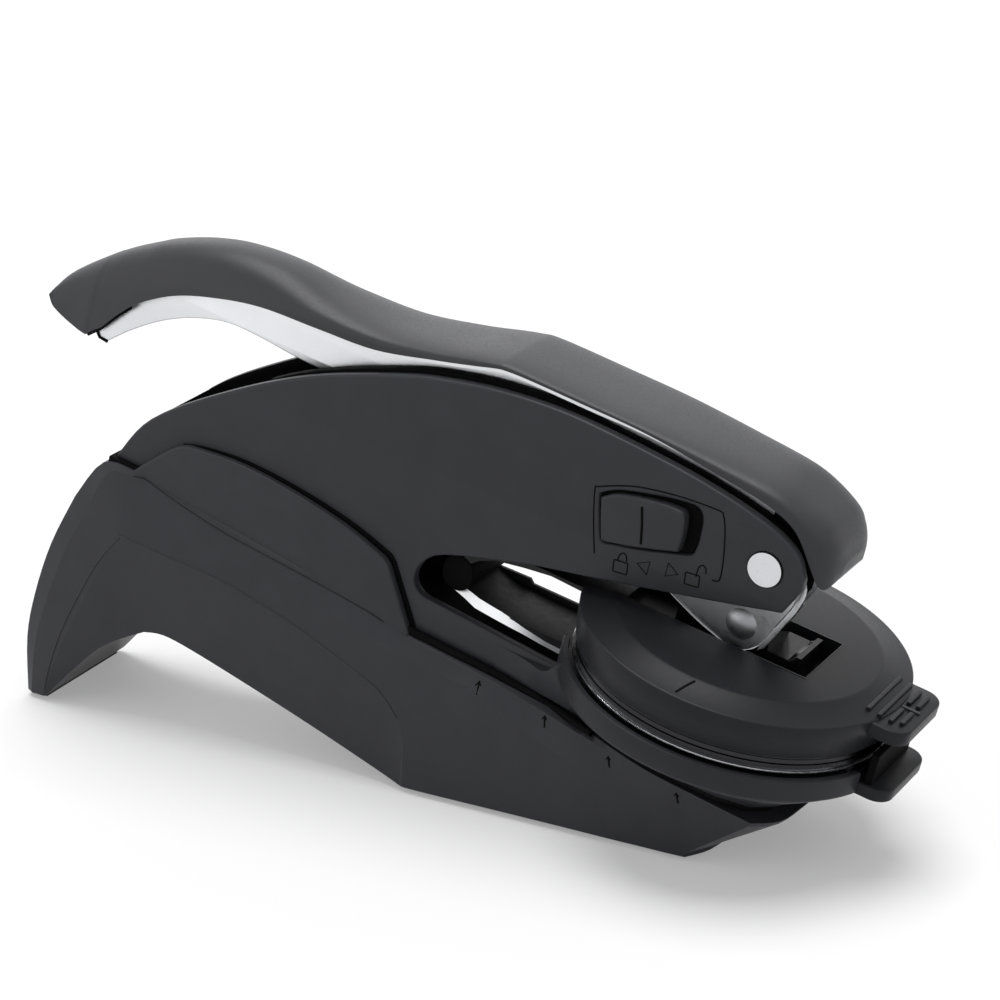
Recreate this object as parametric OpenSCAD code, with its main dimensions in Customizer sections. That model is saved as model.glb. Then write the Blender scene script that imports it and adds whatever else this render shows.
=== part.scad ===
// Desk seal embosser: a tilted press head on an arched stand.
// The row frame has +X forward, +Z up and its origin on the table under the middle of the front pad.
// Head sizes are given in the head's own frame: u runs forward along the jaws, w square to them,
// and both start at the centre of the clip's upper rim.

/* [Head] */
// Downward tilt of the press head in degrees
tilt = 14.1; // [10:0.1:18]
// Distance of the press axis in front of the front pad's centre
head_x = 31; // [29:0.5:33]
// Height of the clip's upper rim above the table
head_z = 37.1; // [36.5:0.1:39]
// Half the width of the two body shells together
shell_half = 11.5; // [11:0.1:12.5]
// Wall of a body shell
shell_wall = 2.3; // [1.8:0.1:2.6]
// Depth of the shells' flat underside below the clip's upper rim
shell_drop = 21.7; // [21.2:0.1:22.5]
// Thickness of the steel side frames
frame_gauge = 1.4; // [1:0.1:1.6]

/* [Lever] */
// Distance of the lever's pivot in front of the press axis
pivot_u = 3.3; // [2.8:0.1:3.6]
// Height of the lever's pivot above the clip's upper rim
pivot_w = 19.2; // [18.8:0.1:19.6]
// Radius of the pivot pin
pivot_r = 3.1; // [2.6:0.1:3.3]
// How far the tip of the handle reaches behind the press axis
lever_reach = 148.6; // [143:0.5:165]
// Half the width of the steel lever channel
lever_half = 6.5; // [6.2:0.1:6.7]
// Thickness of the lever's steel
lever_gauge = 1.4; // [1:0.1:1.6]
// Largest half width of the lever's plastic cover
cover_half = 9.8; // [9.4:0.1:10.4]
// Wall of the cover's top
cover_wall = 1.6; // [1.2:0.1:1.8]
// Distance of the press pin in front of the press axis
press_u = 0.4; // [0:0.1:0.8]
// Height of the press pin above the clip's upper rim
press_w = 5; // [4.9:0.1:5.4]
// Radius of the press pin
press_r = 2.2; // [1.8:0.1:2.3]
// Radius of the press pin's domed heads
press_head_r = 2.9; // [2.6:0.1:3]

/* [Clip] */
// Radius of the clip's upper holder at its rim
clip_r = 30; // [29.5:0.1:30.2]
// Height of the upper holder's side wall
holder_wall_h = 7; // [6.6:0.1:7.2]
// Radius of the upper holder's raised middle
plateau_r = 24.2; // [22:0.1:26]
// Height of the raised middle above the rim
plateau_h = 1.5; // [1:0.1:1.7]
// Half the width of the slot for the ram
slot_half = 8.3; // [8:0.1:8.8]
// Distance of the slot's front end from the press axis
slot_front = 14.7; // [13.5:0.1:16]
// Depth of the slot's floor below the rim
slot_depth = 3; // [2.9:0.1:3.4]
// Radius of the two seal dies
die_r = 28.8; // [25:0.1:29]
// Thickness of one seal die
die_h = 0.8; // [0.5:0.1:0.8]
// Gap between the dies in the closed press, for the paper
paper_gap = 0.3; // [0.2:0.05:0.4]
// Thickness of the clip's lower steel tray
tray_h = 0.8; // [0.6:0.1:1]
// Thickness of the clip's two steel straps
strap_h = 1.4; // [1:0.1:1.6]
// Half the width of the straps
strap_half = 7.2; // [6.5:0.1:7.6]
// Distance of the clip's rear hinge behind the press axis
hinge_back = 53; // [51:0.5:54]
// Radius of the clip's hinge pin
hinge_r = 1.5; // [1.2:0.1:1.8]
// Reach of the finger tabs from the press axis
tab_reach = 34.8; // [33:0.1:36]
// Half the width of the finger tabs
tab_half = 9.5; // [8:0.1:9.6]

/* [Lower jaw] */
// Radius of the round lower jaw
cup_r = 31; // [30.6:0.1:31.6]
// Height of the lower jaw's upright wall
cup_h = 4.2; // [3.6:0.1:4.6]
// Half the width of the guide channel along the lower jaw
channel_half = 9.8; // [9.7:0.1:10.4]

/* [Ram] */
// Half the width of the ram
ram_half = 4.8; // [4.2:0.1:4.9]
// Length of the ram along the jaws
ram_l = 24; // [20:0.5:25]
// Gap between the press pin and the ram's seat in the closed press
seat_gap = 0.45; // [0.4:0.05:0.6]

/* [Lock] */
// Length of the lock button
button_l = 16.4; // [14:0.1:16.6]
// Height of the lock button
button_h = 9.6; // [8:0.1:10]
// Travel of the lock button from locked to open
button_travel = 2.2; // [1.5:0.1:2.4]
// Depth of the recess around the lock button
recess_depth = 1.2; // [0.8:0.1:1.4]

/* [Stand] */
// Outer half width of the cheeks beside the shells
cheek_half = 13.4; // [13.2:0.1:14]
// Half width of the stand at the front ground edge
stand_half = 17.7; // [17:0.1:18.5]
// Width in plan of the rear foot, halved
foot_half = 13.7; // [13:0.1:14.5]
// Height of the rubber pads under the stand
pad_h = 0.8; // [0.6:0.1:1.5]
// Length of the front pad
pad_l = 44; // [38:1:48]
// Half the width of the front pad
pad_half = 9; // [8:0.5:12]
// Length of the rear pad along the foot
rear_pad_l = 3.6; // [3:0.1:4]
// Half the width of the rear pad
rear_pad_half = 12; // [10:0.5:12.5]
// How far the heel of the foot stands behind the front pad's middle
foot_reach = 115.7; // [108:0.5:125]
// Dark joint between the shells and the stand's rim
joint_gap = 1; // [0.7:0.1:1.2]

/* [Hidden] */
$fn = 64;
hull_fn = 32;
eps = 0.01;

// Clearances
fit = 0.05;
side_gap = 0.3;
slide_gap = 0.2;

// Heights of the clip's layers, down from the rim
die_top = -holder_wall_h - die_h - paper_gap;
tray_top = die_top - die_h;
cup_top = tray_top - tray_h - slide_gap;
cup_bottom = cup_top - cup_h;
hinge_w = (cup_top - holder_wall_h) / 2 - 0.3;
upper_strap_top = -slot_depth - side_gap;
lower_strap_top = cup_top - 3.9;
channel_floor = lower_strap_top - strap_h - slide_gap;

// Small fixings
floor_h = 1.6;
boss_r = 2.8;
screw_r = 1.25;
screw_head_r = 2.5;
screw_head_h = 1.4;
screw_reach = 6;
head_screw_reach = 3.4;
tenon_r = 1.2;
spacer_r = 2.8;
spring_r = 4.6;
spring_wire = 0.6;

// Steel frame and shells
shell_inner = shell_half - shell_wall;
frame_out = shell_inner - 0.1;
frame_in = frame_out - frame_gauge;
lever_in = lever_half - lever_gauge;
frame_bottom = -shell_drop + floor_h + 0.1;
jaw_top = channel_floor - 1.4;
jaw_pin_w = (jaw_top + frame_bottom) / 2;
anvil_front = cup_r - 20;
jaw_under = channel_floor - 0.4;
jaw_end = 8 - cup_r;

// Lock
lock_slope = 11;
recess_u = -19.7;
recess_w = 18.2;
recess_l = button_l + button_travel + 0.6;
recess_h = button_h + 1.2;
stem_l = 7;
stem_h = 3;
bar_l = 11;
bar_h = 6;
window_h = 9;
corner_r = 2.8;
bar_out = frame_out - 0.1;
leaf_h = 0.4;

rivet_spots = [-110, -40];
rivet_r = 1.5;
rivet_bite = 1.5;
rivet_reach = lever_gauge + 2.1;
nose_room = 8.6;
dome_h = 1.1;
dome_r = (press_head_r * press_head_r + dome_h * dome_h) / (2 * dome_h);
tab_h = 3;
strap_front = 20;
tray_rim = 0.6;
stop_half = 8.8;
stop_top = -6.1;
screw_spots = [[-104, -10], [-70, 11], [-66, -17.2]];
head_screw_u = -41;
head_screw_y = 5;
hump_closed = 40;
knuckle_half = 4;
button_proud = 0.7;

// Colours
black = "#26272a";
cover_black = "#3a3b3e";
steel = "#d6d7da";
dark_steel = "#6d7075";
rubber = "#1c1c1e";

// A smooth line through the points p, with n steps from each point to the next
function blend(a, b, c, d, t) =
    0.5 * (2 * b + (c - a) * t + (2 * a - 5 * b + 4 * c - d) * t * t
        + (3 * b - a - 3 * c + d) * t * t * t);
function smooth(p, n) = [
    for (i = [0 : len(p) - 2], k = [0 : n - 1])
        blend(p[max(i - 1, 0)], p[i], p[i + 1], p[min(i + 2, len(p) - 1)], k / n),
    p[len(p) - 1]
];
// A point of the head's side view, seen in the row frame
function to_row(p) = [
    head_x + p[0] * cos(tilt) + p[1] * sin(tilt),
    head_z - p[0] * sin(tilt) + p[1] * cos(tilt)
];

module head() translate([head_x, 0, head_z]) rotate([0, tilt, 0]) children();
// A side view (u, w) given thickness from y = a to y = b
module slab(a, b) translate([0, b, 0]) rotate([90, 0, 0]) linear_extrude(b - a) children();
// A pin across the head at (u, w)
module cross_pin(u, w, r, a, b) translate([u, b, w]) rotate([90, 0, 0]) cylinder(r = r, h = b - a);

// ---- Body shells -------------------------------------------------------

shell_back = [
    [-124.3, -15.2], [-118.6, -5.0], [-105, 6.3], [-88.8, 16.7], [-71.2, 24.4],
    [-52, 30.4], [-40.7, 31.2], [-29.3, 30.8], [-16.4, 29.7], [-7.9, 28.6], [-2.3, 27.8],
    [3.5, pivot_w + 7.4], [7.2, pivot_w + 5.8], [9.3, pivot_w + 3.2], [10.4, pivot_w - 1.2],
    [8.2, pivot_w - 6.5]
];
throat = [
    [-36.6, 1.2], [-44.2, -1], [-54.7, -4.8], [-58.2, -7.6], [-59, -10.8],
    [-58, -14.2], [-54.9, -16.7], [-50.8, -16.7], [-36.5, -15.2], [-27.5, -14.4]
];
module shell_side() polygon(concat(
    smooth(shell_back, 5),
    smooth(throat, 3),
    [
        [-27.5, jaw_under], [jaw_end, jaw_under], [jaw_end, -shell_drop], [-115, -shell_drop],
        [-123.2, -17]
    ]
));

module on_lock() translate([recess_u, recess_w]) rotate(lock_slope) children();
module recess_shape() on_lock() hull() for (x = [-1, 1], y = [-1, 1])
    translate([x * (recess_l / 2 - corner_r), y * (recess_h / 2 - corner_r)])
        circle(r = corner_r, $fn = hull_fn);

module shell_body() {
    slab(shell_inner, shell_half) shell_side();
    // Closed back of the hump
    slab(0, shell_inner) intersection() {
        difference() {
            shell_side();
            translate([shell_wall, -1.6]) shell_side();
        }
        translate([-130, -18]) square([hump_closed, 40]);
    }
    // Floor of the body
    slab(0, shell_inner) translate([-112, -shell_drop]) square([84.5, floor_h]);
    for (p = screw_spots) cross_pin(p[0], p[1], boss_r, 0, shell_inner);
    translate([head_screw_u, head_screw_y, -shell_drop]) cylinder(r = 2.4, h = head_screw_reach + 1);
}
// Outline of the joint between the bowl and the stand, seen from above
module rim_plan() hull() {
    for (s = [-1, 1]) {
        translate([16, s * 15.5]) circle(r = 4, $fn = hull_fn);
        translate([-6, s * 14.5]) circle(r = 4, $fn = hull_fn);
        translate([-26, s * (shell_half - 1)]) circle(r = 1, $fn = hull_fn);
    }
    translate([17.5, 0]) circle(r = 4, $fn = hull_fn);
}
module cup_half() difference() {
    union() {
        translate([0, 0, cup_bottom]) cylinder(r = cup_r, h = cup_h, $fn = 128);
        hull() {
            translate([0, 0, cup_bottom - eps]) cylinder(r = cup_r, h = eps, $fn = 96);
            translate([0, 0, -shell_drop]) linear_extrude(0.5) rim_plan();
        }
    }
    translate([-40, -40, -30]) cube([80, 40, 40]);
    translate([-40, -1, channel_floor]) cube([80, 1 + channel_half, 20]);
    // Room for the anvil and the jaws of the frame
    translate([-28, -1, -shell_drop - 1]) cube([28 + anvil_front + slide_gap, 1 + shell_inner, 20]);
}
module left_half() {
    difference() {
        shell_body();
        cross_pin(pivot_u, pivot_w, pivot_r, 0, shell_half + 1);
        for (p = screw_spots) cross_pin(p[0], p[1], screw_r, -1, shell_inner);
        translate([head_screw_u, head_screw_y, -shell_drop - 1])
            cylinder(r = screw_r, h = 1 + head_screw_reach);
    }
    cup_half();
}
module left_shell() color(black) head() difference() {
    left_half();
    for (p = screw_spots) {
        cross_pin(p[0], p[1], screw_r, 0, shell_half + 1);
        cross_pin(p[0], p[1], screw_head_r, shell_half - screw_head_h, shell_half + 1);
    }
}
module right_shell() color(black) head() difference() {
    mirror([0, 1, 0]) left_half();
    // Recess of the lock button and the slot for its stem
    slab(-shell_half - 1, -shell_half + recess_depth) recess_shape();
    slab(-shell_half - 1, -shell_inner + 1) on_lock()
        square([stem_l + button_travel + 2 * side_gap, stem_h + 2 * side_gap], center = true);
}

// ---- Steel frame and fixings -------------------------------------------

frame_top = [
    [-108, -2], [-88, 12], [-71, 20.4], [-52, 26.4], [-38, 28], [-24, 27.4],
    [-10, 26], [pivot_u - 4.3, pivot_w + 5.4], [pivot_u + 2.7, pivot_w + 3],
    [pivot_u + 4.3, pivot_w - 1.2], [pivot_u + 2.7, pivot_w - 5.2]
];
frame_throat = [[-36, 4], [-50, 0.2], [-58, -3.6], [-61.5, -9.5], [-60, -14], [-56, jaw_top]];
module frame_side() polygon(concat(
    smooth(frame_top, 4),
    smooth(frame_throat, 3),
    [[anvil_front, jaw_top], [anvil_front, frame_bottom], [-104, frame_bottom], [-108, -12]]
));
spacer_spots = [[-96, -13], [-76, 2], [-48, 8.4]];
jaw_pin_spots = [[-16, jaw_pin_w], [anvil_front - 5, jaw_pin_w]];
module frame_plate() difference() {
    slab(frame_in, frame_out) frame_side();
    cross_pin(pivot_u, pivot_w, pivot_r, 0, shell_half);
    for (p = concat(spacer_spots, jaw_pin_spots)) cross_pin(p[0], p[1], tenon_r, 0, shell_half);
    for (p = screw_spots) cross_pin(p[0], p[1], boss_r + side_gap, 0, shell_half);
}
module frame_left() color(dark_steel) head() frame_plate();
module frame_right() color(dark_steel) head() difference() {
    mirror([0, 1, 0]) frame_plate();
    slab(-shell_half, 0) on_lock()
        square([bar_l + button_travel + 2 * side_gap + 1, window_h], center = true);
}
module frame_spacers() color(dark_steel) head() {
    for (p = spacer_spots) {
        cross_pin(p[0], p[1], spacer_r, -frame_in, frame_in);
        cross_pin(p[0], p[1], tenon_r, -frame_out, frame_out);
    }
    for (p = jaw_pin_spots) cross_pin(p[0], p[1], tenon_r, -frame_out, frame_out);
}
module shell_screws() color(steel) head() for (p = screw_spots) {
    cross_pin(p[0], p[1], screw_r, -screw_reach, shell_half - screw_head_h);
    cross_pin(p[0], p[1], screw_head_r - 0.1, shell_half - screw_head_h, shell_half - 0.2);
}
module pivot_pin() color(steel) head()
    cross_pin(pivot_u, pivot_w, pivot_r, -shell_half - 0.3, shell_half + 0.3);

// Twisted spring round the pivot, with one leg on a spacer and one under the lever's web
module leg(a, b) {
    d = b - a;
    translate([a[0], 0, a[1]]) rotate([0, atan2(d[0], d[1]), 0]) cylinder(r = spring_wire, h = norm(d));
}
module return_spring() color(steel) head() {
    difference() {
        cross_pin(pivot_u, pivot_w, spring_r + spring_wire, -4, 4);
        cross_pin(pivot_u, pivot_w, spring_r - spring_wire, -5, 5);
    }
    leg([pivot_u - 1, pivot_w - spring_r], spacer_spots[2] + [1, spacer_r + spring_wire + 0.1]);
    leg([pivot_u - 1, pivot_w + spring_r], [-26, web_at(-26) - lever_gauge - spring_wire - side_gap]);
}
module anvil() color(dark_steel) head() difference() {
    translate([-24, -frame_in + 0.1, frame_bottom])
        cube([24 + anvil_front, 2 * frame_in - 0.2, channel_floor - frame_bottom]);
    for (p = jaw_pin_spots) cross_pin(p[0], p[1], tenon_r, -20, 20);
}

// ---- Lever --------------------------------------------------------------

// A place on the handle, measured from its tip
function handle(u) = u - lever_reach;
// Top line of the steel channel
lever_back = [
    [handle(13), 7.4], [handle(17.6), 13.4], [handle(26.6), 19.6], [-110, 24.2], [-98, 26],
    [-86, 26.4], [-74, 28.6], [-60, 31.6], [-48, 32.6], [-40, 32.3], [-30, 31.8],
    [-12, pivot_w + 11.2], [0, pivot_w + 9.6], [6, pivot_w + 7.2], [8.6, pivot_w + 3.4]
];
// Bottom line of its side plates, from the front lobe to the rear end
lever_belly = [
    [9, 17], [8.4, 12], [6.2, 6.6], [4.4, 2.2], [0.6, -0.2], [-4.6, 1], [-9.6, 2.9],
    [-17, 6.4], [-30, 9.6], [-52, 13.6], [-76, 16.4], [-92, 16.6], [-102, 17.4], [-109.4, 17.4],
    [handle(32.6), 15.6], [handle(26.1), 12.4], [handle(19.9), 7.9], [handle(15), 3.4]
];
module lever_side() polygon(concat(
    smooth(lever_back, 3),
    smooth(lever_belly, 3),
    [[handle(12.4), 5]]
));
function web_at(u) = lookup(u, lever_back);
web_line = [for (p = smooth(lever_back, 3)) if (p[0] < 7) p];
module lever_channel() color(steel) head() difference() {
    union() {
        slab(-lever_half, -lever_in) lever_side();
        slab(lever_in, lever_half) lever_side();
        // Top web between the side plates
        slab(-lever_in, lever_in) polygon(concat(
            web_line,
            [for (i = [len(web_line) - 1 : -1 : 0]) web_line[i] - [0, lever_gauge]]
        ));
    }
    cross_pin(pivot_u, pivot_w, pivot_r + fit, -20, 20);
    cross_pin(press_u, press_w, press_r, -20, 20);
    for (u = rivet_spots) translate([u, 0, web_at(u) - 5]) cylinder(r = rivet_r, h = 10);
}

// Plastic cover over the channel: stations of [u, edge w, crown w, half width]
cover_line = [
    [handle(0), 6.2, 7.8, 4.8], [handle(4.6), 4.8, 13.4, 6], [handle(10.2), 3.7, 18.3, 7.4],
    [handle(12.2), 4.4, 19.7, 7.7], [handle(16.6), 9.6, 22.8, 8.3], [handle(24.6), 16.9, 26.6, 8.9],
    [-114, 21.6, 29.6, 9.3], [-102, 24.4, 30.8, 9.4], [-90, 25, 30.2, 9.2],
    [-78, 26, 29.6, 9.2], [-66, 29.2, 31.3, 9.5], [-54, 32.2, 34.4, cover_half],
    [-47, 33.2, 35.2, cover_half], [-40, 32.8, 34.8, cover_half], [-24, 32, 34.3, cover_half],
    [-10, pivot_w + 11.4, pivot_w + 14.3, cover_half],
    [0, pivot_w + 9.8, pivot_w + 13.2, cover_half],
    [6, pivot_w + 7.6, pivot_w + 11.4, cover_half],
    [10.4, pivot_w + 3, pivot_w + 9, 9.6], [12.8, pivot_w - 0.4, pivot_w + 6.2, 8.6],
    [14, pivot_w - 1.2, pivot_w + 4.2, 6]
];
cover_steps = 3;
arc_steps = 12;
// Half outline of one station, from the near lower edge over the crown to the far one
function cover_ring(s) = concat(
    [for (k = [0 : arc_steps])
        let (a = 180 * k / arc_steps, c = cos(a), q = sin(a))
        [s[0], -s[3] * sign(c) * pow(abs(c), 0.55), s[1] + (s[2] - s[1]) * (0.35 + 0.65 * pow(q, 0.6))]],
    [[s[0], s[3], s[1]], [s[0], -s[3], s[1]]]
);
function loft_faces(rings, n) = concat(
    [[for (j = [0 : n - 1]) j]],
    [for (i = [0 : rings - 2], j = [0 : n - 1])
        [i * n + j, (i + 1) * n + j, (i + 1) * n + (j + 1) % n, i * n + (j + 1) % n]],
    [[for (j = [0 : n - 1]) rings * n - 1 - j]]
);
module loft(rings) polyhedron(
    points = [for (r = rings, p = r) p],
    faces = loft_faces(len(rings), len(rings[0])),
    convexity = 6
);
module lever_cover() color(cover_black) head() difference() {
    loft([for (s = smooth(cover_line, cover_steps)) cover_ring(s)]);
    slab(-lever_half - side_gap, lever_half + side_gap)
        for (drop = [0, 2.2, 5, 9]) translate([0, -drop]) lever_side();
    // Room for the noses of the shells and the frames
    for (s = [-20, frame_in]) slab(s, s + 20 - frame_in)
        translate([pivot_u, pivot_w]) circle(r = nose_room);
    for (u = rivet_spots) translate([u, 0, web_at(u) - 5]) cylinder(r = rivet_r, h = 5 + rivet_bite);
}
module cover_rivets() color(steel) head() for (u = rivet_spots) {
    translate([u, 0, web_at(u) - rivet_reach]) cylinder(r = rivet_r, h = rivet_reach + rivet_bite);
    translate([u, 0, web_at(u) - rivet_reach]) cylinder(r = 1.8 * rivet_r, h = 1.1);
}

// The press pin's heads are domed
module press_pin() color(steel) head() {
    cross_pin(press_u, press_w, press_r, -lever_half, lever_half);
    for (s = [0, 1]) mirror([0, s, 0]) intersection() {
        translate([press_u, lever_half - dome_r + dome_h, press_w]) sphere(r = dome_r);
        cross_pin(press_u, press_w, press_head_r, lever_half, lever_half + 5);
    }
}

// ---- Ram -----------------------------------------------------------------

ram_low = -slot_depth + side_gap;
ram_flat = 2.2;
ram_slot_r = press_r + seat_gap;
pin_sweep = 6.2;
module ram() color(dark_steel) head() difference() {
    slab(-ram_half, ram_half) polygon([
        [-ram_l / 2, ram_low], [ram_l / 2, ram_low], [ram_l / 2, ram_flat + 0.4],
        [ram_l / 2 - 1, ram_flat + 0.4],
        [ram_l / 2 - 1, ram_flat - 0.8], [press_u + 5.4, ram_flat - 0.8],
        [press_u + 4.2, press_w + 3],
        [press_u + 2.4, press_w + 4.2], [press_u - pin_sweep - 2.6, press_w + 4.2],
        [press_u - pin_sweep - 4, press_w + 3], [-ram_l / 2, ram_flat]
    ]);
    cross_pin(press_u, press_w, ram_slot_r, -20, 20);
    cross_pin(press_u - pin_sweep, press_w, ram_slot_r, -20, 20);
    translate([press_u - pin_sweep, -20, press_w - ram_slot_r]) cube([pin_sweep, 40, 2 * ram_slot_r]);
}

// ---- Clip ----------------------------------------------------------------

module tab_plan() hull() {
    translate([20, -tab_half]) square([8, 2 * tab_half]);
    for (s = [-1, 1]) translate([tab_reach - 4, s * (tab_half - 4)]) circle(r = 4, $fn = hull_fn);
}
strap_end = -22;
module upper_holder() color(black) head() difference() {
    union() {
        rotate_extrude($fn = 128) polygon([
            [0, -holder_wall_h], [clip_r - 0.9, -holder_wall_h], [clip_r, 0],
            [plateau_r, plateau_h], [0, plateau_h]
        ]);
        translate([0, 0, -tab_h]) linear_extrude(tab_h - 0.4) tab_plan();
    }
    translate([-40, -slot_half, -slot_depth]) cube([40 + slot_front, 2 * slot_half, 20]);
    translate([-40, -strap_half, upper_strap_top - strap_h])
        cube([40 + strap_end, 2 * strap_half, strap_h]);
}
module upper_die() color(steel) head()
    translate([0, 0, -holder_wall_h - die_h]) cylinder(r = die_r, h = die_h);
module lower_die() color(steel) head() translate([0, 0, die_top - die_h]) cylinder(r = die_r, h = die_h);
module lower_tray() color(steel) head()
    translate([0, 0, tray_top - tray_h]) cylinder(r = die_r + tray_rim, h = tray_h);
module lower_slide() color(black) head() {
    translate([-24, -tab_half, lower_strap_top])
        cube([51, 2 * tab_half, tray_top - tray_h - lower_strap_top]);
    translate([0, 0, cup_bottom]) linear_extrude(tab_h - 1) difference() {
        tab_plan();
        translate([0, -20]) square([27, 40]);
    }
    // Stop in front of the tray
    translate([cup_r - 1.1, -stop_half, cup_bottom]) cube([1.6, 2 * stop_half, stop_top - cup_bottom]);
    translate([strap_front, -tab_half, cup_bottom])
        cube([27 - strap_front, 2 * tab_half, lower_strap_top - cup_bottom + eps]);
}
// Two straps joined by a hinge: the lower one has the outer knuckles, the upper one the middle one
module knuckle(a, b, w) {
    difference() {
        union() {
            cross_pin(-hinge_back, hinge_w, hinge_r + strap_h, a, b);
            slab(a, b) polygon([
                [-hinge_back - strap_h, hinge_w], [-hinge_back + strap_h, hinge_w],
                [-hinge_back + strap_h, w], [-hinge_back - strap_h, w]
            ]);
        }
        cross_pin(-hinge_back, hinge_w, hinge_r + (a < 0 && b > 0 ? fit : 0), -20, 20);
    }
}
module lower_strap() color(steel) head() {
    translate([-hinge_back - strap_h, -strap_half, lower_strap_top - strap_h])
        cube([hinge_back + strap_h + strap_front, 2 * strap_half, strap_h]);
    knuckle(-strap_half, -knuckle_half, lower_strap_top - eps);
    knuckle(knuckle_half, strap_half, lower_strap_top - eps);
}
module upper_strap() color(steel) head() {
    translate([-hinge_back - strap_h, -strap_half, upper_strap_top - strap_h])
        cube([hinge_back + strap_h + strap_end, 2 * strap_half, strap_h]);
    knuckle(side_gap - knuckle_half, knuckle_half - side_gap, upper_strap_top - strap_h + eps);
}
module hinge_pin() color(steel) head() cross_pin(-hinge_back, hinge_w, hinge_r, -strap_half, strap_half);

// ---- Lock ----------------------------------------------------------------

module on_locked() on_lock() translate([-button_travel / 2, 0]) children();
module button_side() hull() for (x = [-1, 1], y = [-1, 1])
    translate([x * (button_l / 2 - corner_r), y * (button_h / 2 - corner_r)])
        circle(r = corner_r, $fn = hull_fn);
module lock_button() color(black) head() {
    slab(-shell_half - button_proud, -shell_half + recess_depth - side_gap) on_locked() button_side();
    slab(-shell_half + recess_depth - side_gap - eps, -bar_out)
        on_locked() square([stem_l, stem_h], center = true);
}
module lock_bar() color(steel) head() slab(-bar_out, -frame_in)
    on_locked() square([bar_l, bar_h], center = true);
module lock_detent() color(steel) head() slab(-frame_out, -frame_in) on_lock() union() {
    translate([-bar_l / 2, window_h / 2 - leaf_h]) square([bar_l, leaf_h]);
    translate([-1, bar_h / 2 + side_gap]) square([2, window_h / 2 - bar_h / 2 - side_gap]);
}

// ---- Stand ---------------------------------------------------------------

// Stations from the rear foot over the arch to the front: [outer x, outer z, inner x, inner z,
// half widths at the top, upper crease, lower crease and bottom, places of the two creases]
function rim(u, w) = to_row([u, w]);
rim_w = -shell_drop - joint_gap;
function station(o, i, t, r, c, b, fr, fc) = [o[0], o[1], i[0], i[1], t, r, c, b, fr, fc];
plate_h = 1.2;
cradle_half = 10.8;
// A place on the rear leg, measured from the heel of the foot
function foot(x) = x - foot_reach;
head_screw_seat = -29;
stand_line = [
    station([foot(0), pad_h], [foot(4.8), pad_h], 12.6, 13.2, foot_half, foot_half, 0.3, 0.9),
    station([foot(0.5), 12], [foot(11.4), 7.4], 12.6, 13.4, 14, foot_half, 0.3, 0.72),
    station([foot(2.9), 21.6], [foot(17.5), 13], 12.6, 13.5, 14.2, foot_half, 0.28, 0.62),
    station([foot(7.3), 32.7], [foot(23), 16.3], 12.6, 13.6, 14.5, foot_half, 0.24, 0.55),
    station([-102.3, 43.4], [-87.4, 18.7], 12.6, 13.7, 14.8, foot_half, 0.2, 0.48),
    station(rim(-125.4, -17.3), [-83, 18.7], 12.8, 13.9, 15, 13.8, 0.12, 0.42),
    station(rim(-119, -17.2), [-76.4, 17], cheek_half, 14.3, 15.2, 13.8, 0.1, 0.41),
    station(rim(-101, -18.6), [-63.3, 12.2], cheek_half, 14.4, 15.3, 14, 0.09, 0.35),
    station(rim(-87, -19.6), [-52, 8], cheek_half, 14.5, 15.4, 14.4, 0.1, 0.34),
    station(rim(-73, -20.4), [-41.9, 4.2], cheek_half, 14.9, 15.8, 15.2, 0.12, 0.37),
    station(rim(-57, rim_w), [-29.5, pad_h], 13.5, 15.3, 16.2, 16.2, 0.1, 0.5),
    station(rim(-26, rim_w), [2, pad_h], 13.6, 16, 16.9, 17.2, 0.3, 0.62),
    station(rim(-14, rim_w), [13, pad_h], 16.4, 16.8, 17.1, 17.4, 0.48, 0.8),
    station(rim(-5, rim_w), [20, pad_h], 18.3, 17.6, 17.6, 17.6, 0.82, 0.92),
    station(rim(16, rim_w), [27.9, pad_h], 19.2, stand_half, stand_half, stand_half, 0.9, 0.96),
    station(rim(20, rim_w), [31.4, pad_h], 11, 11, 11, 11, 0.9, 0.96)
];
function mix(s, f) = [s[0] + (s[2] - s[0]) * f, s[1] + (s[3] - s[1]) * f];
function stand_ring(s) = [
    for (e = [[0, s[4]], [s[8], s[5]], [s[9], s[6]], [1, s[7]]])
        let (m = mix(s, e[0])) [m[0], -e[1], m[1]],
    for (e = [[1, s[7]], [s[9], s[6]], [s[8], s[5]], [0, s[4]]]) let (m = mix(s, e[0])) [m[0], e[1], m[1]]
];
cheek_top = [
    [-119.4, -16.6], [-110.6, -6.6], [-105.7, -5.5], [-97, -4.7], [-86, -5.3],
    [-74.8, -7], [-66.7, -9.3], [-64.4, -10.2],
    [-61, -15.8], [-57, -22.4]
];
plate_x = [-25.5, 23.5];
plate_half = 14;
cavity_x = [-18, 15];
cavity_half = 9.6;
cavity_top = 13;
plate_screws = [[-21.5, 11.6], [-21.5, -11.6], [19, 11.6], [19, -11.6]];
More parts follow.
